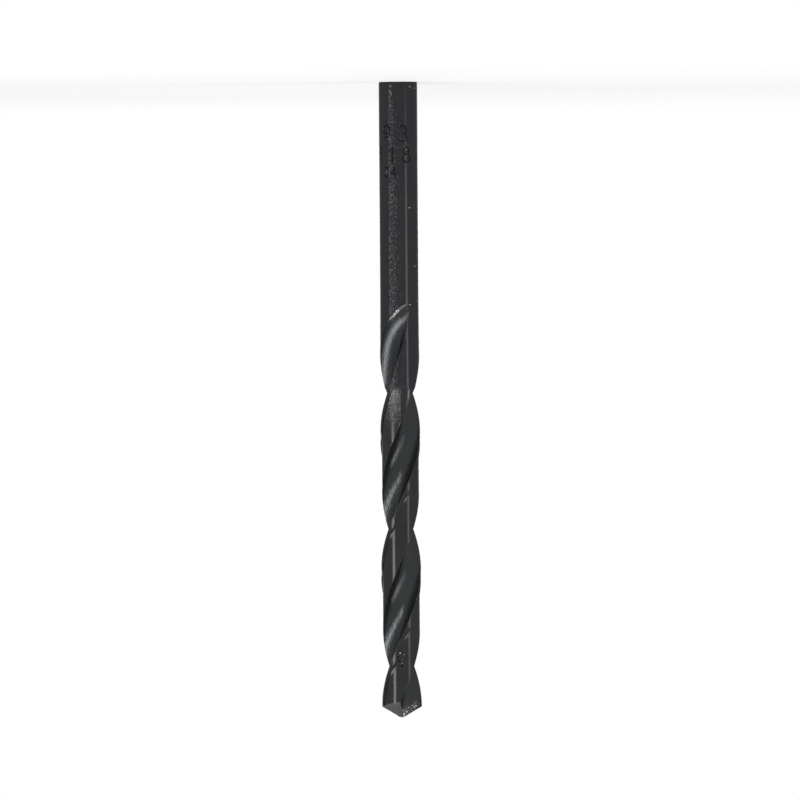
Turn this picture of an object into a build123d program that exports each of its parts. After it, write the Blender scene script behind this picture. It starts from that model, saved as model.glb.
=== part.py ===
"""Jobber twist drill, right-hand cutting, two flutes, parallel shank.

Millimetres, +Z up. The drill stands on its shank end: the origin is the centre of that flat end, the
axis is +Z and the point is at the top. One solid: a blank turned in one profile, two flutes with a
run-out, body clearance behind the margins, and a conically ground point.
"""
from build123d import *
from math import atan2, cos, degrees, radians, sin, sqrt, tan
import os

os.makedirs("parts", exist_ok=True)

# ---- lengths along the axis
length = 93.0           # shank end to point
flute_length = 60.5     # point to the far end of the flutes, where the plain shank ends
run_out = 12.0          # length in which a flute climbs out of the steel
clear_length = 48.2     # point to the start of the body clearance
clear_run_in = 1.8      # length in which the body clearance reaches its depth

# ---- diameters
body_dia = 5.8          # across the margins
shank_dia = 5.65        # parallel shank, a little under the body
clear_dia = 5.42        # across the body clearance
shank_edge = 0.15       # edge break on the shank end

# ---- section, in a plane square to the axis
lead = 40.1             # axial length of one full turn, which gives a helix angle of 24.4 degrees
web = 1.1               # steel left between the two flute bottoms
lip_side = 51.0         # degrees from a land's leading corner to the bottom of the flute ahead of it
heel_side = 48.2        # degrees from the flute's bottom on to the heel of the next land
margin_angle = 13.0     # the margin behind a leading corner, about 0.66 mm round the body
run_out_swing = 20.0    # degrees, how strongly the flute form swings to the heel as it climbs out

# ---- point
point_angle = 118.0
stock = 1.0             # extra length of the blank, ground away with the point
lip_fall = 0.11         # fall of the flank just behind the lip, in mm for each mm
cone_half = 43.0        # half angle of the cone that the flank is ground on
cone_throw = 2.21       # from the drill's axis to the cone's apex, which sets the chisel edge's angle

# ---- derived values
body_r = body_dia / 2
shank_r = shank_dia / 2
clear_r = clear_dia / 2
web_r = web / 2
turn = 360 / lead
flute_end = length - flute_length
run_start = flute_end + run_out
clear_start = length - clear_length
over = length + 2 * stock
reach = 2 * body_r
land_angle = 180 - lip_side - heel_side
wheel_r = (run_out**2 + (body_r - web_r) ** 2) / (2 * (body_r - web_r))

# ---- flank cone: the straight lip is one of its generators, and its axis leans away from the lip
kappa = radians(point_angle / 2)
lip_way = Vector(sin(kappa), 0, -cos(kappa))
inward = Vector(-1 / tan(kappa), lip_fall, -1).normalized()
cone_way = lip_way * cos(radians(cone_half)) + inward * sin(radians(cone_half))


def fall_on_axis():
    """Height from the cone's apex down to the cone's surface on the drill's axis, where the middle of
    the chisel edge is: the upper root of (way . q)^2 = cos(half)^2 * |q|^2 for q = (throw, -web_r, z)."""
    share = cos(radians(cone_half)) ** 2
    flat = cone_way.X * cone_throw - cone_way.Y * web_r
    square = cone_way.Z**2 - share
    middle = flat * cone_way.Z
    rest = flat**2 - share * (cone_throw**2 + web_r**2)
    return (middle + sqrt(middle**2 - square * rest)) / square


apex = Vector(-cone_throw, web_r, length + fall_on_axis())
corner_run = sqrt(body_r**2 - web_r**2)
corner_z = apex.Z - (cone_throw + corner_run) / tan(kappa)
corner_angle = degrees(atan2(web_r, corner_run))


def leading_corner(z):
    """Angle round the axis of a leading corner at height z. The lips lie along X at the point."""
    return corner_angle + turn * (z - corner_z)


def flute_plane(z):
    """Plane of the flute form at height z: turned with the helix, and in the run-out lifted along the
    wheel's arc and swung to the heel."""
    into = max(run_start - z, 0.0)
    left = max(1 - into / run_out, 0.0)
    lift = wheel_r - sqrt(wheel_r**2 - into**2)
    swing = run_out_swing * left**0.3 * (1 - left)
    angle = radians(leading_corner(z) + lip_side + swing)
    way = Vector(cos(angle), sin(angle), 0)
    return Plane(origin=way * lift + Vector(0, 0, z), x_dir=way, z_dir=(0, 0, 1))


def side_arc(radius, angle):
    """Radius of the arc that leaves the web square to the flute's middle line and passes through the
    edge at this radius and angle from that line."""
    rise = radius * cos(radians(angle)) - web_r
    across = radius * sin(radians(angle))
    return (rise**2 + across**2) / (2 * rise)


def flute_form(z):
    """The flute's form at height z: an arc to each side of the bottom, closed outside the drill."""
    lip_arc = side_arc(body_r, lip_side)
    heel_arc = side_arc(clear_r, heel_side)
    with BuildSketch(flute_plane(z)) as form:
        with BuildLine():
            heel = CenterArc((web_r + heel_arc, 0), heel_arc, 180, -85)
            lip = CenterArc((web_r + lip_arc, 0), lip_arc, 180, 75)
            Polyline(heel @ 1, (reach, heel_arc), (reach, -lip_arc), lip @ 1)
        make_face()
    return form.sketch


def twisted(face, bottom):
    """The face carried up from the height called bottom to past the point, turning with the helix."""
    with BuildPart() as prism:
        with BuildLine() as spine:
            Line((0, 0, bottom), (0, 0, over))
        guide = Helix(lead, over - bottom, body_r, center=(0, 0, bottom))
        sweep(sections=face, path=spine.line, binormal=guide)
    return prism.part


# ---- one flute: the constant helical cut, then the run-out towards the shank
flute = twisted(flute_form(run_start), run_start)

with BuildPart() as climb:
    heights = [run_start - step * 1.05 * run_out / 10 for step in range(11)]
    loft(sections=[flute_form(z) for z in heights])

# ---- body clearance: a helical sector from the margin to past the heel, less the core that it
# leaves, which rises to the body diameter where the clearance starts
with BuildSketch(Plane.XY.offset(clear_start)) as sector:
    with BuildLine():
        margin_end = leading_corner(clear_start) - margin_angle
        past_heel = leading_corner(clear_start) - land_angle - margin_angle
        first = PolarLine((0, 0), reach, margin_end)
        last = PolarLine((0, 0), reach, past_heel)
        RadiusArc(first @ 1, last @ 1, reach)
    make_face()

with BuildPart() as relief:
    add(twisted(sector.sketch, clear_start))
    with BuildSketch(Plane.XZ):
        with BuildLine():
            Polyline(
                (0, clear_start - stock),
                (body_r, clear_start - stock),
                (body_r, clear_start),
                (clear_r, clear_start + clear_run_in),
                (clear_r, over + stock),
                (0, over + stock),
                close=True,
            )
        make_face()
    revolve(axis=Axis.Z, mode=Mode.SUBTRACT)

# ---- the drill: blank, flutes, body clearance, point
with BuildPart() as drill:
    with BuildSketch(Plane.XZ):
        with BuildLine():
            Polyline(
                (0, 0),
                (shank_r - shank_edge, 0),
                (shank_r, shank_edge),
                (shank_r, flute_end),
                (body_r, clear_start),
                (body_r, length + stock),
                (0, length + stock),
                close=True,
            )
        make_face()
    revolve(axis=Axis.Z)
    for half in (0, 180):
        add(flute.rotate(Axis.Z, half), mode=Mode.SUBTRACT)
        add(climb.part.rotate(Axis.Z, half), mode=Mode.SUBTRACT)
        add(relief.part.rotate(Axis.Z, half), mode=Mode.SUBTRACT)
    cone_long = 1.3 * length
    cone_wide = cone_long * tan(radians(cone_half))
    flank = Solid.make_cone(0, cone_wide, cone_long, Plane(origin=apex, z_dir=cone_way))
    for half in (0, 180):
        add(flank.rotate(Axis.Z, half), mode=Mode.INTERSECT)

drill.part.label = "twist_drill"
export_step(drill.part, "parts/twist_drill.step")
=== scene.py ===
"""Twist drill: the looks of a right-hand jobber drill in black-oxide high-speed steel.

The drill stands on its shank end with the point up. Its surface is worked out in millimetres from
the same sizes as the solid, as sheets of a two-parameter formula, and written to one mesh in
metres.
"""

import logging
import math
from collections.abc import Callable
from dataclasses import dataclass, field
from enum import Enum

import bmesh
import bpy
import numpy as np
from mathutils import Matrix, Vector


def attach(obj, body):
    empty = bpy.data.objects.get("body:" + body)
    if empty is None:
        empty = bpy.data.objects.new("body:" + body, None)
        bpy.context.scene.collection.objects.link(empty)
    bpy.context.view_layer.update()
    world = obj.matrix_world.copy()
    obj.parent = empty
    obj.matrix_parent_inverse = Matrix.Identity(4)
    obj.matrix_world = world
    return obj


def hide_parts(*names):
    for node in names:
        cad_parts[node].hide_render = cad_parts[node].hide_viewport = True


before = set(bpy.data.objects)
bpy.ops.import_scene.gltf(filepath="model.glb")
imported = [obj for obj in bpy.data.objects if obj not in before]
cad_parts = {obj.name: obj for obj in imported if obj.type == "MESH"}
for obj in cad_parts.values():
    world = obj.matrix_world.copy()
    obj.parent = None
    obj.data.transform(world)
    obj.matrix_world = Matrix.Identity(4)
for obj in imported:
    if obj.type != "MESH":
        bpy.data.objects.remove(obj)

LOG = logging.getLogger("drill")
MM = 0.001
NODE = "twist_drill"
ROUNDS = 40
FAR = 9.0
WHITE = (1.0, 1.0, 1.0, 1.0)

Span = tuple[float, float]
Window = tuple[float, float, float, float]


class Region(Enum):
    """Parts of the drill's surface that are finished differently. The value is the mesh's slot."""

    SHANK = 0
    LAND = 1
    FLUTE = 2
    FLANK = 3


# ---------------------------------------------------------------- helpers


def linear(hex_colour: str) -> tuple[float, float, float, float]:
    """Turns an sRGB hex colour into the linear RGBA that a shader socket takes.

    Args:
        hex_colour: colour such as "#353537".

    Returns:
        Red, green, blue and alpha, linear.
    """
    parts = [int(hex_colour[i : i + 2], 16) / 255 for i in (1, 3, 5)]
    out = [p / 12.92 if p <= 0.04045 else ((p + 0.055) / 1.055) ** 2.4 for p in parts]
    return (out[0], out[1], out[2], 1.0)


def add_node(
    tree: bpy.types.NodeTree, kind: str, settings: dict | None = None, inputs: dict | None = None
) -> bpy.types.Node:
    """Adds a shader node, sets its properties, and fills or links its inputs.

    Args:
        tree: node tree to add to.
        kind: node type without its "ShaderNode" prefix.
        settings: property name to value.
        inputs: socket name or index to a value, or to an output socket to link from.

    Returns:
        The new node.
    """
    node = tree.nodes.new("ShaderNode" + kind)
    for name, value in (settings or {}).items():
        setattr(node, name, value)
    for name, value in (inputs or {}).items():
        if isinstance(value, bpy.types.NodeSocket):
            tree.links.new(value, node.inputs[name])
        else:
            node.inputs[name].default_value = value
    return node


def background_ray(tree: bpy.types.NodeTree) -> bpy.types.NodeSocket:
    """1 for a ray that shows the background: straight to the camera, mirrored or through glass.

    Args:
        tree: node tree to add to.

    Returns:
        The share, 0 or 1.
    """
    path = add_node(tree, "LightPath").outputs
    seen = path["Is Camera Ray"]
    for kind in ("Is Glossy Ray", "Is Transmission Ray"):
        seen = add_node(tree, "Math", {"operation": "MAXIMUM"}, {0: seen, 1: path[kind]}).outputs[0]
    return seen


def new_material(name: str) -> tuple[bpy.types.Material, bpy.types.NodeTree]:
    """A material with an empty node tree, and that tree."""
    material = bpy.data.materials.new(name)
    material.use_nodes = True
    material.node_tree.nodes.clear()
    return material, material.node_tree


def new_object(name: str, data: bpy.types.ID) -> bpy.types.Object:
    """An object for a mesh, a lamp or a camera, linked to the scene at the origin."""
    made = bpy.data.objects.new(name, data)
    bpy.context.scene.collection.objects.link(made)
    return made


def ease(value: np.ndarray, start: float, end: float) -> np.ndarray:
    """Cubic ease from 0 at start to 1 at end, flat at both: 3v^2 - 2v^3 with v held from 0 to 1."""
    v = np.clip((value - start) / (end - start), 0.0, 1.0)
    return v * v * (3 - 2 * v)


def window(value: np.ndarray, edges: Window) -> np.ndarray:
    """1 from the second edge to the third, easing to 0 at the first and at the fourth."""
    return ease(value, edges[0], edges[1]) * ease(value, edges[3], edges[2])


# ---------------------------------------------------------------- the form


@dataclass(frozen=True)
class DrillForm:
    """Sizes of the drill in millimetres and degrees, and the formulas of its surfaces."""

    length: float = 93.0
    flute_length: float = 60.5
    run_out: float = 12.0
    clear_length: float = 48.2
    clear_run_in: float = 1.8
    body_r: float = 2.9
    shank_r: float = 2.825
    clear_r: float = 2.71
    edge: float = 0.15
    lead: float = 40.1
    web_r: float = 0.55
    lip_side: float = 51.0
    heel_side: float = 48.2
    margin: float = 13.0
    hollow: float = 6.5
    hollow_rise: float = 0.24
    swing: float = 20.0
    point_half: float = 59.0
    lip_fall: float = 0.11
    cone_half: float = 43.0
    cone_throw: float = 2.21

    @property
    def turn(self) -> float:
        """Radians of helix for each millimetre of height."""
        return 2 * math.pi / self.lead

    @property
    def flute_end(self) -> float:
        """Height at which the flutes leave the steel on the shank side."""
        return self.length - self.flute_length

    @property
    def run_start(self) -> float:
        """Height at which the run-out begins, coming from the point."""
        return self.flute_end + self.run_out

    @property
    def clear_start(self) -> float:
        """Height at which the body clearance begins."""
        return self.length - self.clear_length

    @property
    def lip_arc(self) -> float:
        """Radius of the flute's arc on the cutting side."""
        return self.side_arc(self.body_r, self.lip_side)

    @property
    def heel_arc(self) -> float:
        """Radius of the flute's arc on the heel side."""
        return self.side_arc(self.clear_r, self.heel_side)

    @property
    def wheel_r(self) -> float:
        """Radius of the arc on which the flute form climbs out of the steel."""
        depth = self.body_r - self.web_r
        return (self.run_out**2 + depth**2) / (2 * depth)

    def side_arc(self, radius: float, angle: float) -> float:
        """Radius of the arc that is square to the flute's middle line at the web and passes through
        the edge at this radius and angle: (rise^2 + across^2) / (2 rise)."""
        rise = radius * math.cos(math.radians(angle)) - self.web_r
        across = radius * math.sin(math.radians(angle))
        return (rise**2 + across**2) / (2 * rise)

    # ---- the flank cones

    def cone(self) -> tuple[np.ndarray, np.ndarray, float]:
        """Apex, axis and squared cosine of the first flank's cone, whose generator is the lip."""
        half, kappa = math.radians(self.cone_half), math.radians(self.point_half)
        lip = np.array([math.sin(kappa), 0.0, -math.cos(kappa)])
        inward = np.array([-1 / math.tan(kappa), self.lip_fall, -1.0])
        way = lip * math.cos(half) + inward / np.linalg.norm(inward) * math.sin(half)
        share = math.cos(half) ** 2
        flat = way[0] * self.cone_throw - way[1] * self.web_r
        square, middle = way[2] ** 2 - share, flat * way[2]
        rest = flat**2 - share * (self.cone_throw**2 + self.web_r**2)
        fall = (middle + math.sqrt(middle**2 - square * rest)) / square
        return np.array([-self.cone_throw, self.web_r, self.length + fall]), way, share

    def flank_height(self, x: np.ndarray, y: np.ndarray, half: int) -> np.ndarray:
        """Height of a flank over a point of the plan, the upper root of (way.q)^2 = cos^2 |q|^2.

        Args:
            x, y: plan position in millimetres.
            half: 0 for the flank behind the lip on +X, 1 for the one turned half round.

        Returns:
            Height in millimetres.
        """
        apex, way, share = self.cone()
        sign = -1.0 if half else 1.0
        dx, dy = sign * x - apex[0], sign * y - apex[1]
        flat = way[0] * dx + way[1] * dy
        square, middle = way[2] ** 2 - share, flat * way[2]
        rest = flat**2 - share * (dx**2 + dy**2)
        root = np.sqrt(np.maximum(middle**2 - square * rest, 0.0))
        return apex[2] - (middle + root) / square

    def point_height(self, x: np.ndarray, y: np.ndarray) -> np.ndarray:
        """Height of the ground point: the lower of the two flanks."""
        return np.minimum(self.flank_height(x, y, 0), self.flank_height(x, y, 1))

    # ---- the turned and fluted body

    def blank_r(self, z: np.ndarray) -> np.ndarray:
        """Radius of the blank: the shank, then a slow swell from the flutes' end to the body."""
        marks = [self.flute_end, self.clear_start]
        return np.interp(z, marks, [self.shank_r, self.body_r])

    def land_r(self, z: np.ndarray) -> np.ndarray:
        """Radius of a land behind its margin: the blank, then a straight fall to the clearance."""
        marks = [self.flute_end, self.clear_start, self.clear_start + self.clear_run_in]
        return np.interp(z, marks, [self.shank_r, self.body_r, self.clear_r])

    def corner_angle(self, z: np.ndarray) -> np.ndarray:
        """Angle of a leading corner in radians; the lips lie along X at the point."""
        run = math.sqrt(self.body_r**2 - self.web_r**2)
        kappa = math.radians(self.point_half)
        corner_z = self.cone()[0][2] - (self.cone_throw + run) / math.tan(kappa)
        return math.atan2(self.web_r, run) + self.turn * (z - corner_z)

    def bottom_r(self, z: np.ndarray) -> np.ndarray:
        """Distance of the flute's bottom from the axis: the web, then the wheel's arc outwards."""
        into = np.clip(self.run_start - z, 0.0, self.run_out)
        return self.web_r + self.wheel_r - np.sqrt(self.wheel_r**2 - into**2)

    def bottom_angle(self, z: np.ndarray) -> np.ndarray:
        """Direction of the flute's bottom: ahead of the leading corner, and swung to the heel while
        it climbs by swing * left^0.3 * (1 - left), where left is what remains of the run-out."""
        into = np.clip(self.run_start - z, 0.0, self.run_out)
        left = 1 - into / self.run_out
        swing = self.swing * left**0.3 * (1 - left)
        return self.corner_angle(z) + np.radians(self.lip_side + swing)

    def flute_tip(self) -> float:
        """Height at which the flute's bottom reaches the blank's surface, by halving."""
        low, high = self.flute_end, self.run_start
        for _ in range(ROUNDS):
            middle = (low + high) / 2
            if self.bottom_r(np.array(middle)) > self.blank_r(np.array(middle)):
                low = middle
            else:
                high = middle
        return high

    def edge_turn(
        self, z: np.ndarray, arc: float, radius: np.ndarray
    ) -> tuple[np.ndarray, np.ndarray]:
        """Where a flute arc meets the land: its polar angle from the flute's middle line, and the
        angle turned along the arc, both from the triangle of axis, arc centre and edge.

        Args:
            z: heights in millimetres.
            arc: radius of the arc.
            radius: radius of the land at those heights.

        Returns:
            Polar angle and turned angle, in radians.
        """
        centre = self.bottom_r(z) + arc
        cosine = (radius**2 + centre**2 - arc**2) / (2 * radius * centre)
        polar = np.arccos(np.clip(cosine, -1.0, 1.0))
        return polar, np.arctan2(radius * np.sin(polar), centre - radius * np.cos(polar))


@dataclass(frozen=True)
class Stamp:
    """One row of plain numerals pressed into the shank: a stroke figure for each, side by side.

    height and pitch are in millimetres and angle in degrees. At a scale of 1 a figure is 2.1 mm
    tall, and middle is how far its middle lies from its left edge.
    """

    text: str
    height: float
    angle: float
    pitch: float = 2.0
    scale: float = 1.0
    middle: float = 0.6

    def strokes(self) -> list[tuple[float, float, float, float, float]]:
        """Strokes of the row as (x, y, radius, start, end) arcs; a straight one has radius 0 and
        its far end in the last two places."""
        shapes = {
            "1": [(0.62, 0.0, 0, 0.62, 2.1), (0.62, 2.1, 0, 0.22, 1.7)],
            "2": [(0.6, 1.52, 0.5, -35, 175), (1.01, 1.23, 0, 0.1, 0.0), (0.1, 0.0, 0, 1.15, 0.0)],
            "3": [(0.55, 1.57, 0.46, -90, 160), (0.55, 0.56, 0.55, -160, 90)],
            "4": [(0.86, 0.0, 0, 0.86, 2.1), (0.86, 2.1, 0, 0.1, 0.66), (0.1, 0.66, 0, 1.2, 0.66)],
            "8": [(0.6, 1.58, 0.46, -180, 180), (0.6, 0.56, 0.55, -180, 180)],
            "9": [(0.6, 1.5, 0.52, -180, 180), (0.14, 1.46, 0.98, -82, 0)],
        }
        rows = []
        for place, sign in enumerate(self.text):
            shift = (place - (len(self.text) - 1) / 2) * self.pitch - self.middle * self.scale
            for x, y, r, a, b in shapes[sign]:
                s = self.scale
                if r:
                    rows.append((shift + x * s, y * s, r * s, a, b))
                else:
                    rows.append((shift + x * s, y * s, 0.0, shift + a * s, b * s))
        return rows

    def distance(self, along: np.ndarray, up: np.ndarray) -> np.ndarray:
        """Distance from each point to the nearest stroke, as the least over the strokes of the
        distance to a segment, or to a circle where the point faces the arc and to its ends
        elsewhere.

        Args:
            along: millimetres round the shank from the row's middle.
            up: millimetres above the row's foot.

        Returns:
            Distance in millimetres.
        """
        best = np.full(np.broadcast(along, up).shape, FAR)
        for x, y, r, a, b in self.strokes():
            if r:
                dx, dy = along - x, up - y
                bearing = np.degrees(np.arctan2(dy, dx))
                middle, half = (a + b) / 2, (b - a) / 2
                off = np.abs((bearing - middle + 180) % 360 - 180)
                ends = [
                    np.hypot(dx - r * math.cos(math.radians(e)), dy - r * math.sin(math.radians(e)))
                    for e in (a, b)
                ]
                gap = np.where(off <= half, np.abs(np.hypot(dx, dy) - r), np.minimum(*ends))
            else:
                vx, vy = a - x, b - y
                share = np.clip(((along - x) * vx + (up - y) * vy) / (vx * vx + vy * vy), 0, 1)
                gap = np.hypot(along - x - share * vx, up - y - share * vy)
            best = np.minimum(best, gap)
        return best


@dataclass(frozen=True)
class Sheet:
    """A grid of surface points, in millimetres, with what the finish needs at each of them.

    lay is the place on the steel, across and along the way it was worked. marks is how far the
    oxide is worn off, partly as painted highlights, and the painted shade in and around a pressed
    figure, both from 0 to 1.
    """

    region: Region
    points: np.ndarray
    lay: np.ndarray
    marks: np.ndarray


@dataclass(frozen=True)
class WearAndHighlight:
    """How far the oxide is worn in each place, from 0 to 1, and where, in millimetres; some of it
    is painted highlight drawn as bare steel.

    What has a reach falls off as e^(-distance / reach). A span is where there is none and where
    there is all of it, and a window has four edges. patch_round is in degrees; lip_across and
    run_out_highlight_side are in shares of a flute, from -1 at the heel to 1 at the lip.
    """

    # worn oxide along the edges, partly a painted highlight of a rounded edge
    edge: float = 0.3
    edge_reach: float = 0.07
    edge_start: float = 1.0
    corner: float = 0.3
    corner_reach: float = 0.35
    # painted highlight, drawn as bare grainy steel, on the patch where the clearance begins
    clearance_highlight: float = 0.36
    patch_round: Window = (-30.0, -24.0, 35.0, 38.0)
    patch_along: Window = (-0.25, 0.25, 2.2, 8.2)
    patch_inset: Span = (0.0, 0.15)
    lip: float = 0.29
    lip_along: Span = (2.1, 0.7)
    lip_across: Window = (-0.35, -0.05, 0.65, 1.05)
    # painted highlight, drawn as bare steel, on the heel side of the run-out
    run_out_highlight: float = 0.32
    run_out_highlight_along: Span = (3.0, 1.8)
    run_out_highlight_edge: Span = (0.75, 0.55)
    run_out_highlight_side: float = 0.2
    foot: float = 0.12
    foot_height: float = 0.07
    foot_reach: float = 0.09
    flank: float = 0.12
    # worn oxide along the flank's border, partly a painted highlight of a rounded edge
    flank_edge: float = 0.25


@dataclass
class Drill:
    """The whole drill as one closed mesh: two lands with the shank, two flutes and two flanks.

    Places are shares of a width and crowdings are powers or shares that bring columns closer.
    Angles and turns are in degrees, merge is in metres and other lengths are in millimetres.
    """

    form: DrillForm = field(default_factory=DrillForm)
    wear: WearAndHighlight = field(default_factory=WearAndHighlight)
    margin_places: tuple[float, ...] = (0, 0.12, 0.4, 0.7, 1.0)
    step_angle: float = 0.5
    hollow_places: tuple[float, ...] = (0, 0.15, 0.4, 0.7)
    heel_crowding: float = 1.15
    stamp_crowding: float = 0.055
    edge_crowding: float = 1.3
    even_out: float = 8.0
    seam_turn: float = 38.0
    seam_height: float = 12.0
    stamp_columns: int = 132
    plain_columns: int = 44
    flute_columns: int = 34
    cap_rows: int = 12
    top_rows: int = 8
    top_height: float = 2.75
    first_drop: float = 1.5
    foot_gap: float = 0.3
    foot_places: tuple[float, ...] = (0.0, 0.45, 0.8)
    edge_rows: int = 5
    row_pitch: float = 0.36
    shank_pitch: float = 0.5
    stamp_pitch: float = 0.07
    stamped_from: float = 5.9
    stamped_to: float = 14.3
    fine_rows: int = 10
    fine_height: float = 0.9
    stamps: tuple[Stamp, ...] = (
        Stamp("93", 8.7, -69.8, 2.6, 1.12),
        Stamp("118", 11.8, -62.7, 2.1, 1.12),
        Stamp("24", 13.9, -54.0, 1.3, 0.68),
    )
    stamp_depth: float = 0.09
    stroke_half_width: float = 0.115
    burr_share: float = 0.1
    burr_place: float = 1.4
    burr_width: float = 0.3
    # painted shade: how far past a stroke's middle the figures are darkened, in stroke half-widths
    figure_shade_reach: float = 1.35
    chisel_search: float = 0.3
    chisel_search_share: float = 0.5
    search_columns: int = 2001
    lay_radius: float = 0.6
    lay_shift: float = 40.0
    merge: float = 2e-7
    sharp_angle: float = 50.0

    def __post_init__(self) -> None:
        """Works out the rows of heights that the sheets share."""
        form = self.form
        self.tip = form.flute_tip()
        low, high = self.stamped_from, self.stamped_to
        plain = np.arange(form.edge + self.foot_gap, low, self.row_pitch)
        stamped = np.arange(low, high, self.stamp_pitch)
        shank = np.linspace(high, self.tip, int((self.tip - high) / self.shank_pitch) + 1)
        self.shank_rows = np.concatenate([plain, stamped, shank[:-1]])
        top = form.length - self.top_height
        start = self.tip + self.fine_height * np.linspace(0, 1, self.fine_rows) ** 2
        count = int((top - start[-1]) / self.row_pitch)
        self.flute_rows = np.concatenate([start, np.linspace(start[-1], top, count)[1:]])

    @property
    def chisel_column(self) -> int:
        """The column of a flute that runs into the chisel corner."""
        return self.flute_columns // 2

    # ---- sections

    def spin(self, z: np.ndarray) -> np.ndarray:
        """Direction of the seam between the two halves: the flute's bottom above the flute's tip,
        and below it a slow turn away, so that the stamped side lies in one half."""
        turned = math.radians(self.seam_turn) * ease(self.tip - z, 0.0, self.seam_height)
        return self.form.bottom_angle(np.maximum(z, self.tip)) - turned

    def land_angle(self, z: np.ndarray, columns: int, half: int) -> np.ndarray:
        """Angles of a land's columns and, below the flutes, of half the shank's.

        They run clockwise from the leading corner: columns over the margin, a steep step, some in
        the hollow at its foot, then the rest, closer towards the heel. On the shank they even out,
        closer at the figures.

        Args:
            z: heights in millimetres, one for each row and column or for each row.
            columns: number of columns.
            half: 0 or 1, the second being turned half round.

        Returns:
            Angles in radians.
        """
        form = self.form
        z = np.broadcast_to(z, (z.shape[0], columns))
        lip, _ = form.edge_turn(z, form.lip_arc, form.blank_r(z))
        heel, _ = form.edge_turn(z, form.heel_arc, form.land_r(z))
        lip, heel = (np.where(z <= self.tip, 0.0, a) for a in (lip, heel))
        step = math.radians(form.margin + self.step_angle)
        over = np.array(self.margin_places) * math.radians(form.margin)
        hollow = step + np.array(self.hollow_places) * math.radians(form.hollow)
        near = np.concatenate([over, hollow])
        start = step + math.radians(form.hollow)
        rest = 1 - (1 - np.linspace(0, 1, columns - near.size)[None, :]) ** self.heel_crowding
        rest = start + (np.pi - lip - heel - start)[:, near.size :] * rest
        body = np.concatenate([near + 0 * z[:, : near.size], rest], axis=1)
        even = np.linspace(0, 1, columns)[None, :]
        spread = even + self.stamp_crowding * half * np.sin(2 * np.pi * even)
        share = ease(self.tip - z, 0.0, self.even_out)
        return self.spin(z) + half * np.pi - lip - (1 - share) * body - share * np.pi * spread

    def land_plan(self, z: np.ndarray, columns: int, half: int) -> tuple[np.ndarray, np.ndarray]:
        """Plan of a land: radius times cosine and sine of its angles, the radius falling at the
        margin's step, whose foot runs out as rise * (1 - u)^2 over the hollow, and at the figures.

        Args:
            z: heights in millimetres.
            columns: number of columns.
            half: 0 or 1.

        Returns:
            x and y in millimetres.
        """
        form = self.form
        angle = self.land_angle(z, columns, half)
        step, end = len(self.margin_places), len(self.margin_places) + len(self.hollow_places)
        radius = np.where(np.arange(columns)[None, :] < step, form.blank_r(z), form.land_r(z))
        behind = np.zeros((1, columns))
        behind[0, step:end] = (1 - np.array(self.hollow_places)) ** 2
        radius = radius + form.hollow_rise * behind * (form.blank_r(z) - form.land_r(z))
        if half:
            radius = radius - self.pressed(angle, z)
        return radius * np.cos(angle), radius * np.sin(angle)

    def stroke_gap(self, angle: np.ndarray, z: np.ndarray) -> np.ndarray:
        """Distance to the nearest stroke of any row, in stroke half-widths; figures stand with
        their feet towards the point and read clockwise."""
        best = np.full(np.broadcast(angle, z).shape, FAR)
        for row in self.stamps:
            turned = (np.degrees(angle) - row.angle + 180) % 360 - 180
            along = -np.radians(turned) * self.form.shank_r
            best = np.minimum(best, row.distance(along, row.height - z) / self.stroke_half_width)
        return best

    def pressed(self, angle: np.ndarray, z: np.ndarray) -> np.ndarray:
        """Depth of the stamped figures: depth * (1 - d^2) inside a stroke, d being the distance in
        half-widths, and a low burr of steel pushed up beside it."""
        d = self.stroke_gap(angle, z)
        burr = np.exp(-(((d - self.burr_place) / self.burr_width) ** 2))
        return self.stamp_depth * (np.clip(1 - d * d, 0, 1) - self.burr_share * burr)

    def flute_plan(
        self, z: np.ndarray, share: np.ndarray, half: int
    ) -> tuple[np.ndarray, np.ndarray]:
        """Plan of a flute: an arc from the heel to the bottom and another to the next lip.

        With t the turned angle, the point is (bottom + r (1 - cos t)) along the flute's middle line
        and r sin t across it, to the heel side for a negative share and to the lip for a positive
        one.

        Args:
            z: heights in millimetres.
            share: -1 at the heel, 0 at the bottom, 1 at the leading corner.
            half: 0 or 1, the second being turned half round.

        Returns:
            x and y in millimetres.
        """
        form = self.form
        _, lip = form.edge_turn(z, form.lip_arc, form.blank_r(z))
        _, heel = form.edge_turn(z, form.heel_arc, form.land_r(z))
        arc = np.where(share < 0, form.heel_arc, form.lip_arc)
        t = np.abs(share) * np.where(share < 0, heel, lip)
        out = form.bottom_r(z) + arc * (1 - np.cos(t))
        side = np.where(share < 0, 1.0, -1.0) * arc * np.sin(t)
        angle = form.bottom_angle(z) + half * np.pi
        x = out * np.cos(angle) - side * np.sin(angle)
        y = out * np.sin(angle) + side * np.cos(angle)
        return x, y

    def top(
        self, plan: Callable[[np.ndarray], tuple[np.ndarray, np.ndarray]], columns: int
    ) -> np.ndarray:
        """Height at which each column's helix meets the point: z = point_height(plan(z)), repeated.

        Args:
            plan: function of an array of heights that gives x and y.
            columns: number of columns.

        Returns:
            Heights, one row.
        """
        z = np.full((1, columns), self.form.length - self.first_drop)
        for _ in range(ROUNDS):
            z = self.form.point_height(*plan(z))
        return z

    # ---- sheets

    def rows(self, heights: np.ndarray, end: np.ndarray) -> np.ndarray:
        """Heights of a sheet: level rows, then rows that spread evenly to each column's own top."""
        level = np.repeat(heights[:, None], end.shape[1], axis=1)
        lift = np.linspace(0, 1, self.top_rows + 1)[1:, None]
        return np.concatenate([level, heights[-1] + (end - heights[-1]) * lift], axis=0)

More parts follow.
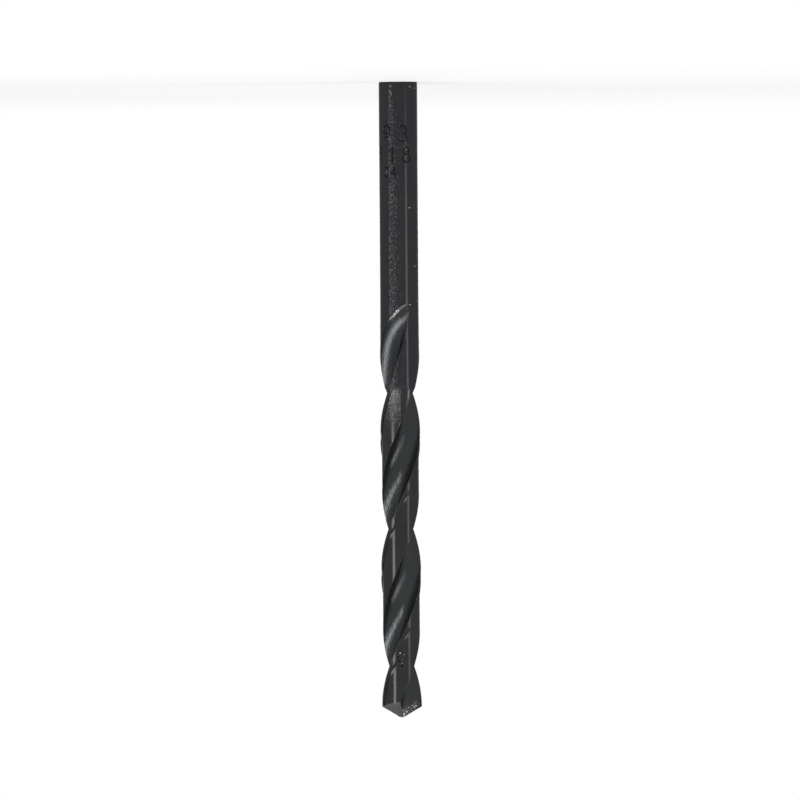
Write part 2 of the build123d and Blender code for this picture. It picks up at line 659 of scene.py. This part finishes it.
    def land(self, half: int) -> Sheet:
        """One land with its half of the shank, the rounded edge and the end face."""
        form = self.form
        columns = self.stamp_columns if half else self.plain_columns
        end = self.top(lambda z: self.land_plan(z, columns, half), columns)
        z = self.rows(np.concatenate([self.shank_rows, self.flute_rows]), end)
        x, y = self.land_plan(z, columns, half)
        angle = self.land_angle(z, columns, half)
        foot_angle = angle[:1]
        flat = np.array(self.foot_places)[:, None]
        bend = np.linspace(0, np.pi / 2, self.edge_rows)[:, None]
        ring = form.shank_r - form.edge * (1 - np.sin(bend))
        reach = np.concatenate([flat * form.shank_r, ring])
        low = np.concatenate([0 * flat, form.edge * (1 - np.cos(bend))])
        foot = np.stack(
            [reach * np.cos(foot_angle), reach * np.sin(foot_angle), low + 0 * foot_angle], axis=2
        )
        points = np.concatenate([foot, np.stack([x, y, z], axis=2)], axis=0)
        around = np.concatenate([reach * foot_angle, angle * form.shank_r])
        lay = np.stack([around, points[..., 2]], axis=2)
        # painted shade: darkens the stamped figures and a little beyond their strokes
        figure_shade = np.clip(self.figure_shade_reach - self.stroke_gap(angle, z), 0, 1) * half
        wear = self.wear
        off = (points[: len(low), :, 2] - wear.foot_height) / wear.foot_reach
        foot = wear.foot * np.exp(-(off**2))
        worn = np.concatenate([foot, self.land_wear_and_highlight(angle, z, end, half)])
        figure_shade = np.concatenate([0 * foot, figure_shade])
        return Sheet(Region.LAND, points, lay, np.stack([worn, figure_shade], axis=2))

    def land_wear_and_highlight(self, angle: np.ndarray, z: np.ndarray, end: np.ndarray, half: int) -> np.ndarray:
        """How far a land's oxide is worn: along its two edges, partly as a painted highlight of a
        rounded edge, and at the outer corner of the lip; and a painted highlight, drawn as bare
        grainy steel, on the patch where the clearance begins.

        The patch is a window round the drill, measured from the leading corner at the height where
        the clearance begins, times a window along it, and it keeps off the margin.

        Args:
            angle, z: place of each point.
            end: height of each column's top.
            half: 0 or 1.

        Returns:
            Wear from 0 to 1.
        """
        form, wear = self.form, self.wear
        from_lip = (angle[:, :1] - angle) * form.body_r
        from_heel = (angle - angle[:, -1:]) * form.body_r
        above = ease(z - self.tip, 0.0, wear.edge_start)
        # worn oxide along both edges, partly a painted highlight of a rounded edge
        edges = np.exp(-from_lip / wear.edge_reach) + np.exp(-from_heel / wear.edge_reach)
        corner = np.exp(-np.hypot(from_lip, end - z) / wear.corner_reach)
        turned = np.degrees(form.corner_angle(np.array(form.clear_start)) + half * np.pi - angle)
        turned = (turned + 180) % 360 - 180
        behind = from_lip - math.radians(form.margin) * form.body_r
        # painted highlight, drawn as bare grainy steel, where the clearance begins
        patch = window(turned, wear.patch_round) * window(z - form.clear_start, wear.patch_along)
        patch = patch * ease(behind, *wear.patch_inset)
        worn = above * (wear.edge * edges + wear.corner * corner) + wear.clearance_highlight * patch
        return np.clip(worn, 0, 1)

    def shares(self) -> np.ndarray:
        """Places of a flute's columns, closer at its edges. One column runs into the chisel corner,
        which is where the two flanks stand equally high along the flute's top, found on a fine
        row between the two halves' middles."""
        reach = self.chisel_search_share
        fine = np.linspace(-reach, reach, self.search_columns)[None, :]
        z = self.top(lambda h: self.flute_plan(h, fine, 0), fine.shape[1])
        x, y = self.flute_plan(z, fine, 0)
        gap = (self.form.flank_height(x, y, 0) - self.form.flank_height(x, y, 1))[0]
        place = int(np.flatnonzero(np.diff(np.sign(gap)))[0])
        step = fine[0, 1] - fine[0, 0]
        cut = fine[0, place] + step * gap[place] / (gap[place] - gap[place + 1])
        power, after = self.edge_crowding, self.flute_columns - self.chisel_column
        left = -1 + (cut + 1) * np.linspace(0, 1, self.chisel_column + 1) ** power
        right = 1 - (1 - cut) * np.linspace(1, 0, after) ** power
        return np.concatenate([left, right[1:]])[None, :]

    def flute(self, half: int) -> Sheet:
        """One flute, from the tip of its run-out to the point. Its oxide is worn along both edges,
        partly as a painted highlight of a rounded edge, and chipped behind the lip, and a highlight
        is painted as bare steel on the heel side of the run-out.

        Args:
            half: 0 or 1, the second being turned half round.

        Returns:
            The sheet.
        """
        form, wear = self.form, self.wear
        share = self.shares()
        end = self.top(lambda z: self.flute_plan(z, share, half), share.shape[1])
        z = self.rows(self.flute_rows, end)
        x, y = self.flute_plan(z, share, half)
        _, lip = form.edge_turn(z, form.lip_arc, form.blank_r(z))
        _, heel = form.edge_turn(z, form.heel_arc, form.land_r(z))
        across = share * np.where(share < 0, heel * form.heel_arc, lip * form.lip_arc)
        slope = math.hypot(1.0, form.turn * self.lay_radius * form.body_r)
        lay = np.stack([across + self.lay_shift * half, z * slope], axis=2)
        edge = np.where(share < 0, across - across[:, :1], across[:, -1:] - across)
        lip_side = ease(end - z, *wear.lip_along) * window(share, wear.lip_across)
        # painted highlight, drawn as bare steel, on the heel side of the run-out
        run_out_highlight = ease(z - self.tip, *wear.run_out_highlight_along) * ease(edge, *wear.run_out_highlight_edge)
        run_out_highlight = run_out_highlight * (share < wear.run_out_highlight_side)
        # worn oxide along both edges, partly a painted highlight of a rounded edge
        worn = wear.edge * np.exp(-edge / wear.edge_reach)
        worn = np.clip(worn + wear.lip * lip_side + wear.run_out_highlight * run_out_highlight, 0, 1)
        points = np.stack([x, y, z], axis=2)
        return Sheet(Region.FLUTE, points, lay, np.stack([worn, 0 * worn], axis=2))

    def flank(self, border: np.ndarray, half: int) -> Sheet:
        """One flank: straight lines in plan from its border to the chisel edge, which is found by
        halving where both flanks are equally high; heights come from the flank's cone.

        Args:
            border: points of the border in order, from one chisel corner to the other.
            half: 0 or 1.

        Returns:
            The sheet.
        """
        form, wear = self.form, self.wear
        steps = np.linalg.norm(np.diff(border[:, :2], axis=0), axis=1)
        run = np.concatenate([[0], np.cumsum(steps)])
        share = (run / run[-1])[:, None]
        first, last = border[0, :2], border[-1, :2]
        middle = first + (last - first) * share
        across = np.array([-(last - first)[1], (last - first)[0]]) / np.linalg.norm(last - first)

        def lead(offset: np.ndarray) -> np.ndarray:
            """How much higher the first flank is than the second at an offset from the middle."""
            x, y = np.split(middle + across * offset, 2, axis=1)
            return form.flank_height(x, y, 0) - form.flank_height(x, y, 1)

        high = np.full(share.shape, self.chisel_search)
        low, upper = -high, np.sign(lead(high))
        for _ in range(ROUNDS):
            mid = (low + high) / 2
            same = np.sign(lead(mid)) == upper
            high, low = np.where(same, mid, high), np.where(same, low, mid)
        chisel = middle + across * (low + high) / 2
        v = np.linspace(0, 1, self.cap_rows)[:, None, None]
        plan = border[None, :, :2] * (1 - v) + chisel[None] * v
        z = form.flank_height(plan[..., 0], plan[..., 1], half)
        z[0] = border[:, 2]
        far = np.linalg.norm(plan - plan[:1], axis=2)
        # oxide worn on the flank, more along its border, partly a painted highlight of a rounded
        # edge
        worn = wear.flank + wear.flank_edge * np.exp(-far / wear.edge_reach)
        lay = np.stack([np.hypot(plan[..., 0], plan[..., 1]), z], axis=2)
        points = np.concatenate([plan, z[..., None]], axis=2)
        return Sheet(Region.FLANK, points, lay, np.stack([worn, 0 * worn], axis=2))

    # ---- the piece

    def sheets(self) -> list[Sheet]:
        """All the sheets; a flank's border is a lip, a land's top and the heel side behind it."""
        lands = [self.land(h) for h in (0, 1)]
        flutes = [self.flute(h) for h in (0, 1)]
        cut = self.chisel_column
        flanks = []
        for half in (0, 1):
            lip = flutes[half].points[-1][cut:]
            heel = flutes[1 - half].points[-1][1 : cut + 1]
            border = np.concatenate([lip, lands[half].points[-1][1:], heel])
            flanks.append(self.flank(border, half))
        return [*lands, *flutes, *flanks]

    def build(self) -> bpy.types.Object:
        """Joins the sheets into one closed mesh, smooth but for its real edges, and dresses it.

        Returns:
            The drill's object, at the origin.
        """
        sheets, faces, slots, start = self.sheets(), [], [], 0
        for sheet in sheets:
            rows, columns = sheet.points.shape[:2]
            index = start + np.arange(rows * columns).reshape(rows, columns)
            corners = [index[:-1, :-1], index[1:, :-1], index[1:, 1:], index[:-1, 1:]]
            faces.append(np.stack(corners, axis=2).reshape(-1, 4))
            slots.append(np.full(len(faces[-1]), sheet.region.value))
            start += rows * columns
        quads = np.concatenate(faces)
        mesh = bpy.data.meshes.new("drill_surface")
        points = np.concatenate([s.points.reshape(-1, 3) for s in sheets])
        mesh.from_pydata(points * MM, [], quads.tolist())
        mesh.polygons.foreach_set("material_index", np.concatenate(slots).astype(np.int32))
        lay = np.concatenate([s.lay.reshape(-1, 2) for s in sheets]) * MM
        marks = np.concatenate([s.marks.reshape(-1, 2) for s in sheets])
        for name, values in (("lay", lay), ("marks", marks)):
            layer = mesh.uv_layers.new(name=name)
            layer.data.foreach_set("uv", values[quads.ravel()].astype(np.float32).ravel())
        self.close(mesh)
        self.sort_shank(mesh)
        for region in Region:
            mesh.materials.append(FINISHES[region].make())
        return new_object("drill", mesh)

    def close(self, mesh: bpy.types.Mesh) -> None:
        """Merges the sheets' shared borders, drops faces without area, turns all faces outwards and
        marks the edges between regions and the margin's steps as sharp."""
        work = bmesh.new()
        work.from_mesh(mesh)
        bmesh.ops.remove_doubles(work, verts=work.verts, dist=self.merge)
        bmesh.ops.dissolve_degenerate(work, edges=work.edges, dist=self.merge / 2)
        bmesh.ops.recalc_face_normals(work, faces=work.faces)
        open_edges = sum(1 for e in work.edges if not e.is_manifold)
        LOG.info("drill: %d vertices, %d open edges", len(work.verts), open_edges)
        for face in work.faces:
            face.smooth = True
        for edge in work.edges:
            regions = {face.material_index for face in edge.link_faces}
            flat = edge.calc_face_angle(0.0) < math.radians(self.sharp_angle)
            edge.smooth = len(regions) == 1 and flat
        work.to_mesh(mesh)
        work.free()

    def sort_shank(self, mesh: bpy.types.Mesh) -> None:
        """Gives the land faces below the body clearance to the shank's finish."""
        count = len(mesh.polygons)
        centre, slot = np.empty(count * 3), np.empty(count, dtype=np.int32)
        mesh.polygons.foreach_get("center", centre)
        mesh.polygons.foreach_get("material_index", slot)
        low = centre.reshape(-1, 3)[:, 2] < self.form.clear_start * MM
        slot[(slot == Region.LAND.value) & low] = Region.SHANK.value
        mesh.polygons.foreach_set("material_index", slot)


# ---------------------------------------------------------------- finishes


@dataclass(frozen=True)
class Spot:
    """A small pit or a bright nick in the skin: its place and radius in millimetres, its colour."""

    place: tuple[float, float, float]
    radius: float
    tone: str


@dataclass(frozen=True)
class HandledSide:
    """The side of the bar that was handled, which alone shows its grain in the highlight.

    way is its direction. The grain stands out over the span out, in millimetres along way from the
    axis, and over the span up, in millimetres above the end face; elsewhere and at_foot are what is
    left of it beyond them. extra_roughness is what the side adds to the roughness.
    """

    way: tuple[float, float, float] = (0.3244, -0.9459, 0.0)
    out: Span = (2.64, 2.72)
    elsewhere: float = 0.012
    up: Span = (1.0, 9.0)
    at_foot: float = 0.3
    extra_roughness: float = -0.01


@dataclass(frozen=True)
class OxideSteel:
    """Black oxide on high-speed steel, grown in steam: a thin dark magnetite skin that keeps the
    grain of the grinding or rolling under it. The eye gets a dark grey, half metal and half
    mineral, a little blue or brown where the skin is thinner, with crisp highlights that the grain
    breaks up, bare steel in specks where it is worn and where a highlight is painted, painted shade
    in the stamped figures, and a few bright flecks.

    Lengths are in millimetres, relief in micrometres. A grain is drawn coarser than the real one,
    which is too fine to show. chips is how far wear knocks the skin off in grains, and dulling how
    much rougher a worn place is. A span of a pattern is its value where the thing has no share and
    where it has all of it; roughness_span is in shares of the roughness.
    """

    name: str
    dark: str
    tint: str
    roughness: float
    grain: float
    relief: float
    stretch: float = 1.0
    follows_flute: bool = False
    detail: float = 3.0
    chips: float = 0.0
    spots: tuple[Spot, ...] = ()
    dulling: float = 1.0
    handled: HandledSide | None = None
    metallic: float = 0.68
    specular: float = 0.3
    edge_tint: str = "#a0a0a0"
    bare: str = "#747472"
    # colour of the painted shade in and around the stamped figures
    pressed: str = "#141415"
    fleck: str = "#c9c9c6"
    chip: str = "#dededc"
    grain_edge: float = 0.6
    grain_span: Span = (0.3, 0.7)
    roughness_span: Span = (0.8, 1.25)
    cloud_size: float = 5.0
    cloud_span: Span = (0.35, 0.65)
    speck_size: float = 0.17
    speck_span: Span = (0.77, 0.94)
    fleck_pitch: float = 2.3
    fleck_span: Span = (0.044, 0.03)
    chip_pitch: float = 0.36
    chip_span: Span = (0.0, -0.08)
    spot_core: float = 0.6

    def make(self) -> bpy.types.Material:
        """Builds the material's nodes on Object coordinates and the drill's own two maps.

        Returns:
            The material.
        """
        material, tree = new_material(self.name)
        place = add_node(tree, "TexCoord").outputs["Object"]
        marks = add_node(
            tree, "SeparateXYZ",
            inputs={0: add_node(tree, "UVMap", {"uv_map": "marks"}).outputs[0]},
        )
        way = add_node(tree, "UVMap", {"uv_map": "lay"}).outputs[0] if self.follows_flute else place
        squeeze = (1, 1 / self.stretch, 1) if self.follows_flute else (1, 1, 1 / self.stretch)
        worked = add_node(tree, "Mapping", inputs={"Vector": way, "Scale": squeeze}).outputs[0]
        grain = add_node(
            tree, "TexNoise",
            inputs={"Vector": worked, "Scale": 1 / (self.grain * MM),
                    "Detail": self.detail, "Roughness": self.grain_edge},
        ).outputs[0]
        height, rough = self.surface(tree, place, grain, marks.outputs[0])
        relief = add_node(
            tree, "Bump",
            inputs={"Height": height, "Strength": 1.0, "Distance": self.relief * MM / 1000},
        )
        shader = add_node(
            tree, "BsdfPrincipled",
            inputs={"Base Color": self.colour(tree, place, marks), "Metallic": self.metallic,
                    "Roughness": rough, "Specular IOR Level": self.specular,
                    "Specular Tint": linear(self.edge_tint), "Normal": relief.outputs[0]},
        )
        add_node(tree, "OutputMaterial", inputs={"Surface": shader.outputs[0]})
        return material

    def surface(
        self, tree: bpy.types.NodeTree, place: bpy.types.NodeSocket, grain: bpy.types.NodeSocket,
        worn: bpy.types.NodeSocket
    ) -> tuple[bpy.types.NodeSocket, bpy.types.NodeSocket]:
        """Height and roughness from the grain. Worn steel is duller. Where the bar has a handled
        side, the relief stands out on it and fades towards the end face.

        Args:
            tree: the material's nodes.
            place: Object coordinates.
            grain: the grain's value, about 0.3 to 0.7.
            worn: how far the oxide is worn, from 0 to 1.

        Returns:
            Height and roughness.
        """
        (low, high), (smooth, dull) = self.grain_span, self.roughness_span
        rough = add_node(
            tree, "MapRange",
            inputs={"Value": grain, "From Min": low, "From Max": high,
                    "To Min": self.roughness * smooth, "To Max": self.roughness * dull},
        ).outputs[0]
        rough = add_node(
            tree, "Math", {"operation": "MULTIPLY_ADD"}, {0: worn, 1: self.dulling, 2: rough}
        ).outputs[0]
        side = self.handled
        if side is None:
            return grain, rough
        along = add_node(tree, "VectorMath", {"operation": "DOT_PRODUCT"}, {0: place, 1: side.way})
        up = add_node(tree, "SeparateXYZ", inputs={0: place}).outputs[2]
        fades = [
            add_node(
                tree, "MapRange", {"interpolation_type": "SMOOTHSTEP"},
                {"Value": value, "From Min": none * MM, "From Max": full * MM,
                 "To Min": least, "To Max": 1.0},
            ).outputs[0]
            for value, (none, full), least in (
                (along.outputs["Value"], side.out, side.elsewhere), (up, side.up, side.at_foot)
            )
        ]
        cover = add_node(tree, "Math", {"operation": "MULTIPLY"}, dict(enumerate(fades)))
        cover = cover.outputs[0]
        middle = (low + high) / 2
        level = add_node(tree, "Math", {"operation": "SUBTRACT"}, {0: grain, 1: middle}).outputs[0]
        height = add_node(tree, "Math", {"operation": "MULTIPLY"}, {0: level, 1: cover}).outputs[0]
        rough = add_node(
            tree, "Math", {"operation": "MULTIPLY_ADD"},
            {0: cover, 1: side.extra_roughness, 2: rough},
        ).outputs[0]
        return height, rough

    def colour(
        self, tree: bpy.types.NodeTree, place: bpy.types.NodeSocket, marks: bpy.types.Node
    ) -> bpy.types.NodeSocket:
        """Colour of the skin: two close tones in clouds, painted shade in and around a pressed
        figure, then bare steel in specks, more of them the more the marks give of wear and of
        painted highlight, bright flecks, spots and chips. Each layer has a value, the span in which
        its share grows, and its tone, and lies over those before it.

        Args:
            tree: the material's nodes.
            place: Object coordinates.
            marks: the separated marks, wear with painted highlights in X and the painted shade of
                the figures in Y.

        Returns:
            The colour.
        """
        cloud, specks, flecks = (
            add_node(
                tree, kind, inputs={"Vector": place, "Scale": 1 / (size * MM), "Detail": detail}
            ).outputs[0]
            for kind, size, detail in (
                ("TexNoise", self.cloud_size, 4), ("TexNoise", self.speck_size, 1),
                ("TexVoronoi", self.fleck_pitch, 0),
            )
        )
        # bare steel specks: real wear, and painted highlights drawn as bare steel
        worn = add_node(tree, "Math", {"operation": "ADD"}, {0: specks, 1: marks.outputs[0]})
        layers = [
            (cloud, self.cloud_span, self.tint),
            # painted shade: darker in and around the stamped figures
            (marks.outputs[1], (0.0, 1.0), self.pressed),
            (worn.outputs[0], self.speck_span, self.bare),
            (flecks, self.fleck_span, self.fleck),
        ]
        for spot in self.spots:
            away = add_node(
                tree, "VectorMath", {"operation": "DISTANCE"},
                {0: place, 1: tuple(c * MM for c in spot.place)},
            ).outputs["Value"]
            span = (spot.radius * MM, self.spot_core * spot.radius * MM)
            layers.append((away, span, spot.tone))
        if self.chips:
            cells = add_node(
                tree, "TexVoronoi", inputs={"Vector": place, "Scale": 1 / (self.chip_pitch * MM)}
            )
            inside = add_node(
                tree, "Math", {"operation": "MULTIPLY_ADD"},
                {0: marks.outputs[0], 1: -self.chips, 2: cells.outputs["Distance"]},
            ).outputs[0]
            layers.append((inside, self.chip_span, self.chip))
        colour = linear(self.dark)
        for value, (none, full), tone in layers:
            share = add_node(
                tree, "MapRange", inputs={"Value": value, "From Min": none, "From Max": full}
            ).outputs[0]
            colour = add_node(
                tree, "Mix", {"data_type": "RGBA"}, {0: share, 6: colour, 7: linear(tone)}
            ).outputs[2]
        return colour


FINISHES: dict[Region, OxideSteel] = {
    # Drawn and turned bar, then steamed: smooth and faintly violet, with one handled side where the
    # grain glitters in the highlight.
    Region.SHANK: OxideSteel(
        "steam_oxide_shank", "#2c2b30", "#2e2e2e", 0.1, 0.2, 105.0, stretch=3.0, detail=1.0,
        handled=HandledSide(),
    ),
    # Ground round, then steamed: neutral grey with crisp lines of light; two pits and some nicks
    # near the point.
    Region.LAND: OxideSteel(
        "steam_oxide_land", "#2d2d2f", "#303131", 0.1, 0.16, 7.0, stretch=1.5, bare="#5c5d5d",
        spots=(
            Spot((0.39, -2.68, 85.48), 0.21, "#0c0c0c"),
            Spot((0.92, -2.55, 84.2), 0.15, "#141414"),
            Spot((0.76, -2.6, 84.7), 0.18, "#101010"),
            Spot((0.65, -2.63, 83.57), 0.1, "#dcdcd8"),
            Spot((0.07, -2.71, 83.8), 0.07, "#a8a8a0"),
            Spot((0.28, -2.7, 84.53), 0.06, "#9c9c94"),
            Spot((0.37, -2.68, 85.07), 0.07, "#a8a8a4"),
            Spot((0.89, -2.56, 83.84), 0.06, "#b4b4ac"),
        ),
    ),
    # Ground along the helix, then steamed: greener grey, its grain drawn out along the flute, with
    # the skin chipped to bright steel behind the lips.
    Region.FLUTE: OxideSteel(
        "steam_oxide_flute", "#323435", "#363738", 0.1, 0.16, 30.0, stretch=6.0, chips=0.95,
        dulling=0.35, follows_flute=True,
    ),
    # Ground after steaming on the point grinder: lighter, matt, nearly bare steel.
    Region.FLANK: OxideSteel("steam_oxide_flank", "#505050", "#565654", 0.3, 0.12, 6.0),
}


# ---------------------------------------------------------------- stage


@dataclass(frozen=True)
class Strip:
    """A leaning strip light that faces the middle of the drill.

    low and high are the directions of its ends, in degrees round from the camera's side and up. Its
    width is in degrees too, seen from the drill, and its level is its radiance, where 1 is white.
    """

    name: str
    low: tuple[float, float]
    high: tuple[float, float]
    width: float
    level: float


@dataclass(frozen=True)
class Card:
    """A dark card beside the drill, between two directions in degrees round from the camera."""

    name: str
    first: float
    last: float


@dataclass
class Stage:
    """A white floor and surround, strip lights on both sides and behind, two dark cards for the
    steel to mirror, and the camera. Sizes are in metres unless their names say otherwise."""

    view_angle: float = -81.07
    lean: float = 0.388
    distance: float = 2.6
    frame_mm: float = 117.1
    aim_mm: float = 46.55
    sensor_mm: float = 36.0
    floor_radius: float = 0.7
    floor_drop: float = 2e-5
    floor_corners: int = 96
    floor_span: Span = (0.05, 0.3)
    floor_near: float = 0.5
    floor_colour: str = "#f3f3f3"
    fill: float = 0.4
    lamp_distance: float = 0.6
    card_distance: float = 0.5
    card_height: float = 0.7
    card_columns: int = 17
    card_span: Span = (0.07, 0.2)
    card_foot_level: float = 0.92
    card_level: float = 0.32
    view_reach: float = 20.0
    strips: tuple[Strip, ...] = (
        Strip("left_strip", (54.0, -10.0), (41.0, 10.0), 12.0, 7.5),
        Strip("left_top_strip", (40.0, 12.0), (2.0, 52.0), 8.5, 14.0),
        Strip("right_strip", (-41.0, -9.0), (-51.0, 6.0), 9.5, 3.2),
        Strip("right_top_strip", (-52.0, 8.0), (-83.0, 50.0), 9.0, 9.0),
        Strip("back_strip", (180.0, -8.0), (180.0, 45.0), 14.0, 5.0),
    )
    cards: tuple[Card, ...] = (Card("left_card", 78.0, 135.0), Card("right_card", -85.0, -135.0))

    def place(self) -> None:
        """Makes the floor, the world, the lights, the cards and the camera."""
        self.floor()
        self.world()
        for strip in self.strips:
            self.light(strip)
        for card in self.cards:
            self.stand(card)
        self.camera()
        bpy.context.scene.view_settings.view_transform = "Standard"

    def outward(self, offset: float, rise: float = 0.0) -> Vector:
        """Direction from the drill, in degrees round from the camera's side and up from level."""
        angle, up = math.radians(self.view_angle + offset), math.radians(rise)
        level = math.cos(up)
        return Vector((math.cos(angle) * level, math.sin(angle) * level, math.sin(up)))

    def floor(self) -> None:
        """A round white floor. To the camera and in reflections it shines by itself: half near the
        drill, where its shadow falls, and wholly further out."""
        around = np.linspace(0, 2 * np.pi, self.floor_corners, endpoint=False)
        ring = [self.floor_radius * np.cos(around), self.floor_radius * np.sin(around)]
        points = np.stack([*ring, 0 * around - self.floor_drop], axis=1)
        mesh = bpy.data.meshes.new("floor")
        mesh.from_pydata(points, [], [list(range(self.floor_corners))])
        material, tree = new_material("white_floor")
        place = add_node(tree, "TexCoord").outputs["Object"]
        far = add_node(tree, "VectorMath", {"operation": "LENGTH"}, {0: place}).outputs["Value"]
        near_end, far_start = self.floor_span
        open_floor = add_node(
            tree, "MapRange", {"interpolation_type": "SMOOTHSTEP"},
            {"Value": far, "From Min": near_end, "From Max": far_start,
             "To Min": self.floor_near, "To Max": 1.0},
        ).outputs[0]
        part = add_node(
            tree, "Math", {"operation": "MULTIPLY"}, {0: background_ray(tree), 1: open_floor}
        )
        matt = add_node(tree, "BsdfDiffuse", inputs={"Color": linear(self.floor_colour)})
        glow = add_node(tree, "Emission", inputs={"Color": WHITE, "Strength": 1.0})
        both = add_node(
            tree, "MixShader", inputs={0: part.outputs[0], 1: matt.outputs[0], 2: glow.outputs[0]}
        )
        add_node(tree, "OutputMaterial", inputs={"Surface": both.outputs[0]})
        mesh.materials.append(material)
        new_object("floor", mesh)

    def world(self) -> None:
        """A plain white surround, at full white to the camera and in reflections."""
        world = bpy.data.worlds.new("surround")
        bpy.context.scene.world = world
        world.use_nodes = True
        tree = world.node_tree
        tree.nodes.clear()
        level = add_node(
            tree, "MapRange",
            inputs={"Value": background_ray(tree), "To Min": self.fill, "To Max": 1.0},
        )
        back = add_node(
            tree, "Background", inputs={"Color": WHITE, "Strength": level.outputs[0]}
        )
        add_node(tree, "OutputWorld", inputs={"Surface": back.outputs[0]})

    def light(self, strip: Strip) -> None:
        """Hangs a strip light, which the camera doesn't see.

        Args:
            strip: where it hangs and how strong it is.
        """
        foot, head = self.outward(*strip.low), self.outward(*strip.high)
        way = (foot + head).normalized()
        along = (head - foot).normalized()
        lamp = bpy.data.lights.new(strip.name, "AREA")
        lamp.shape = "RECTANGLE"
        lamp.size = 2 * self.lamp_distance * math.tan(math.radians(strip.width / 2))
        lamp.size_y = 2 * self.lamp_distance * math.tan(foot.angle(head) / 2)
        lamp.energy = strip.level * math.pi * lamp.size * lamp.size_y
        holder = new_object(strip.name, lamp)
        holder.visible_camera = False
        turn = Matrix((along.cross(way), along, way)).transposed().to_4x4()
        place = way * self.lamp_distance + Vector((0, 0, self.aim_mm * MM))
        holder.matrix_world = Matrix.Translation(place) @ turn

    def stand(self, card: Card) -> None:
        """Stands a dark card on the floor, a strip of a cylinder round the drill, out of the
        camera's sight, so that the steel has something dark to mirror. Its foot is nearly white.

        Args:
            card: where it stands.
        """
        turned = np.linspace(card.first, card.last, self.card_columns)
        turned = np.radians(self.view_angle + turned)[:, None]
        rise = np.linspace(0, self.card_height, 2)[None, :]
        plan = [self.card_distance * np.cos(turned), self.card_distance * np.sin(turned)]
        points = np.stack([plan[0] + 0 * rise, plan[1] + 0 * rise, rise + 0 * turned], axis=2)
        index = np.arange(points.shape[0] * 2).reshape(-1, 2)
        corners = [index[:-1, 0], index[1:, 0], index[1:, 1], index[:-1, 1]]
        mesh = bpy.data.meshes.new(card.name)
        mesh.from_pydata(points.reshape(-1, 3), [], np.stack(corners, axis=1).tolist())
        made = new_object(card.name, mesh)
        made.visible_camera = made.visible_diffuse = made.visible_shadow = False
        material, tree = new_material("dark_card")
        place = add_node(tree, "TexCoord").outputs["Object"]
        height = add_node(tree, "SeparateXYZ", inputs={0: place}).outputs[2]
        low, high = self.card_span
        level = add_node(
            tree, "MapRange", {"interpolation_type": "SMOOTHSTEP"},
            {"Value": height, "From Min": low, "From Max": high,
             "To Min": self.card_foot_level, "To Max": self.card_level},
        ).outputs[0]
        shade = add_node(tree, "Emission", inputs={"Color": WHITE, "Strength": level})
        add_node(tree, "OutputMaterial", inputs={"Surface": shade.outputs[0]})
        mesh.materials.append(material)

    def camera(self) -> None:
        """A long lens level with the middle of the drill, turned over to have the point below."""
        data = bpy.data.cameras.new("view")
        data.sensor_width = self.sensor_mm
        data.lens = self.sensor_mm * self.distance / (self.frame_mm * MM)
        data.clip_end = self.view_reach
        camera = new_object("view", data)
        back = self.outward(0.0)
        up = Vector((0, 0, 1))
        right = (-back).cross(-up)
        tilt = math.radians(self.lean)
        turned_right = right * math.cos(tilt) + up * math.sin(tilt)
        turned_up = right * math.sin(tilt) - up * math.cos(tilt)
        turn = Matrix((turned_right, turned_up, back)).transposed().to_4x4()
        place = back * self.distance + Vector((0, 0, self.aim_mm * MM))
        camera.matrix_world = Matrix.Translation(place) @ turn
        bpy.context.scene.camera = camera


def main() -> None:
    """Builds the drill and the stage."""
    logging.basicConfig(level=logging.INFO, format="%(name)s: %(message)s")
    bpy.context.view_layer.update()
    drill = Drill().build()
    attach(drill, "root")
    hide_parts(NODE)
    LOG.info("piece %s: %d faces", drill.name, len(drill.data.polygons))
    Stage().place()


if __name__ == "__main__":
    main()
